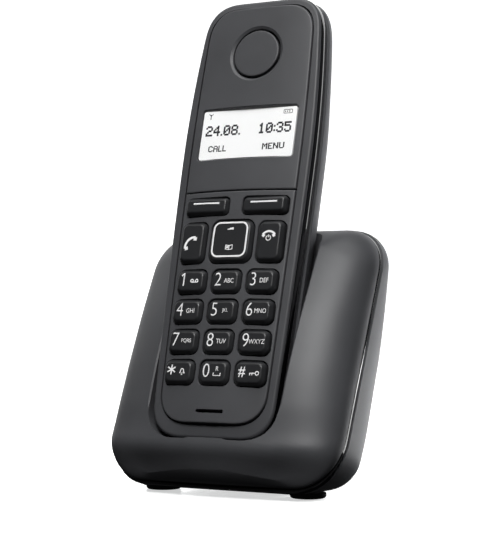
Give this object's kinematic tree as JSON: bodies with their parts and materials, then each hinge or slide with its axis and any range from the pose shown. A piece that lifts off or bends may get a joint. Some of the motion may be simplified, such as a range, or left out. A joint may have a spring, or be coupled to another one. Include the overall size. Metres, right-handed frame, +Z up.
{
  "type": "cordless phone with charging base",
  "caption": "Compact cordless handset with keypad and display, docked upright in a slanted charging base with a rear stand.",
  "frame": {"origin": "middle of the footprint, on the surface that the base stands on", "axes": "+Z up, -Y the way the keypad faces, +X to the right of someone facing the keypad"},
  "size_m": [0.0866, 0.083, 0.1705],
  "materials": {
    "casing": "fine matte moulded texture, charcoal",
    "faceplate": "fine matte moulded texture, charcoal",
    "keys": "satin, with white legends",
    "gloss_band": "polished black",
    "lens": "clear polished",
    "display": "pale grey backlit display with dark segments",
    "silicone": "matte silicone",
    "circuit_board": "green solder mask",
    "steel": "bright",
    "spring_metal": "bright, plated",
    "cell_sleeve": "printed sleeve over a metal can",
    "socket_plastic": "matte black",
    "foot_rubber": "matte black"
  },
  "bodies": {
    "base": {"base_front_shell": "casing", "base_rear_shell": "casing", "base_trim_band": "gloss_band", "base_circuit_board": "circuit_board", "base_screw_left": "steel", "base_screw_right": "steel", "base_antenna": "spring_metal", "line_socket": "socket_plastic", "power_socket": "socket_plastic", "foot_front_left": "foot_rubber", "foot_front_right": "foot_rubber", "foot_rear_left": "foot_rubber", "foot_rear_right": "foot_rubber"},
    "handset": {"handset_front_shell": "casing", "handset_rear_shell": "casing", "display_panel": "faceplate", "keypad_panel": "faceplate", "earpiece_cap": "faceplate", "handset_side_trim": "gloss_band", "display_window": "lens", "lcd_module": "display", "keypad_mat": "silicone", "handset_circuit_board": "circuit_board", "earpiece_receiver": "steel", "microphone_capsule": "steel", "ringer_speaker": "steel", "charge_strip_left": "steel", "charge_strip_right": "steel", "handset_screw_left": "steel", "handset_screw_right": "steel", "battery_spring_1": "spring_metal", "battery_spring_2": "spring_metal", "battery_contact_plate": "spring_metal", "handset_antenna": "spring_metal", "battery_cell_1": "cell_sleeve", "battery_cell_2": "cell_sleeve"},
    "key_1": {"key_1": "keys"},
    "key_2": {"key_2": "keys"},
    "key_3": {"key_3": "keys"},
    "key_4": {"key_4": "keys"},
    "key_5": {"key_5": "keys"},
    "key_6": {"key_6": "keys"},
    "key_7": {"key_7": "keys"},
    "key_8": {"key_8": "keys"},
    "key_9": {"key_9": "keys"},
    "key_star": {"key_star": "keys"},
    "key_0": {"key_0": "keys"},
    "key_hash": {"key_hash": "keys"},
    "soft_key_left": {"soft_key_left": "keys"},
    "soft_key_right": {"soft_key_right": "keys"},
    "talk_key": {"talk_key": "keys"},
    "end_key": {"end_key": "keys"},
    "nav_key": {"nav_key": "keys"},
    "paging_key": {"paging_key": "keys"},
    "battery_cover": {"battery_cover": "casing"},
    "base_contact_left": {"base_contact_left": "spring_metal"},
    "base_contact_right": {"base_contact_right": "spring_metal"}
  },
  "joints": [
    {"name": "handset_lift", "type": "slide", "parent": "base", "child": "handset", "axis": [0, 0.2622, 0.965], "range_m": [0, 0.12]},
    {"name": "battery_cover_slide", "type": "slide", "parent": "handset", "child": "battery_cover", "axis": [0, 0.2622, 0.965], "range_m": [0, 0.012]},
    {"name": "key_1_press", "type": "slide", "parent": "handset", "child": "key_1", "axis": [0, 0.965, -0.2622], "range_m": [0, 0.0008], "stiffness_N_per_m": 1200},
    {"name": "key_2_press", "type": "slide", "parent": "handset", "child": "key_2", "axis": [0, 0.965, -0.2622], "range_m": [0, 0.0008], "stiffness_N_per_m": 1200},
    {"name": "key_3_press", "type": "slide", "parent": "handset", "child": "key_3", "axis": [0, 0.965, -0.2622], "range_m": [0, 0.0008], "stiffness_N_per_m": 1200},
    {"name": "key_4_press", "type": "slide", "parent": "handset", "child": "key_4", "axis": [0, 0.965, -0.2622], "range_m": [0, 0.0008], "stiffness_N_per_m": 1200},
    {"name": "key_5_press", "type": "slide", "parent": "handset", "child": "key_5", "axis": [0, 0.965, -0.2622], "range_m": [0, 0.0008], "stiffness_N_per_m": 1200},
    {"name": "key_6_press", "type": "slide", "parent": "handset", "child": "key_6", "axis": [0, 0.965, -0.2622], "range_m": [0, 0.0008], "stiffness_N_per_m": 1200},
    {"name": "key_7_press", "type": "slide", "parent": "handset", "child": "key_7", "axis": [0, 0.965, -0.2622], "range_m": [0, 0.0008], "stiffness_N_per_m": 1200},
    {"name": "key_8_press", "type": "slide", "parent": "handset", "child": "key_8", "axis": [0, 0.965, -0.2622], "range_m": [0, 0.0008], "stiffness_N_per_m": 1200},
    {"name": "key_9_press", "type": "slide", "parent": "handset", "child": "key_9", "axis": [0, 0.965, -0.2622], "range_m": [0, 0.0008], "stiffness_N_per_m": 1200},
    {"name": "key_star_press", "type": "slide", "parent": "handset", "child": "key_star", "axis": [0, 0.965, -0.2622], "range_m": [0, 0.0008], "stiffness_N_per_m": 1200},
    {"name": "key_0_press", "type": "slide", "parent": "handset", "child": "key_0", "axis": [0, 0.965, -0.2622], "range_m": [0, 0.0008], "stiffness_N_per_m": 1200},
    {"name": "key_hash_press", "type": "slide", "parent": "handset", "child": "key_hash", "axis": [0, 0.965, -0.2622], "range_m": [0, 0.0008], "stiffness_N_per_m": 1200},
    {"name": "soft_key_left_press", "type": "slide", "parent": "handset", "child": "soft_key_left", "axis": [0, 0.965, -0.2622], "range_m": [0, 0.0008], "stiffness_N_per_m": 1200},
    {"name": "soft_key_right_press", "type": "slide", "parent": "handset", "child": "soft_key_right", "axis": [0, 0.965, -0.2622], "range_m": [0, 0.0008], "stiffness_N_per_m": 1200},
    {"name": "talk_key_press", "type": "slide", "parent": "handset", "child": "talk_key", "axis": [0, 0.965, -0.2622], "range_m": [0, 0.0008], "stiffness_N_per_m": 1200},
    {"name": "end_key_press", "type": "slide", "parent": "handset", "child": "end_key", "axis": [0, 0.965, -0.2622], "range_m": [0, 0.0008], "stiffness_N_per_m": 1200},
    {"name": "nav_key_rock", "type": "hinge", "parent": "handset", "child": "nav_key", "pos_m": [0, -0.01787, 0.08325], "axis": [1, 0, 0], "range_deg": [-2, 2], "stiffness_Nm_per_rad": 0.5},
    {"name": "paging_key_press", "type": "slide", "parent": "base", "child": "paging_key", "axis": [0, 0, -1], "range_m": [0, 0.0008], "stiffness_N_per_m": 1200},
    {"name": "base_contact_left_press", "type": "slide", "parent": "base", "child": "base_contact_left", "axis": [0, -0.2622, -0.965], "range_m": [0, 0.0008], "stiffness_N_per_m": 300},
    {"name": "base_contact_right_press", "type": "slide", "parent": "base", "child": "base_contact_right", "axis": [0, -0.2622, -0.965], "range_m": [0, 0.0008], "stiffness_N_per_m": 300}
  ]
}
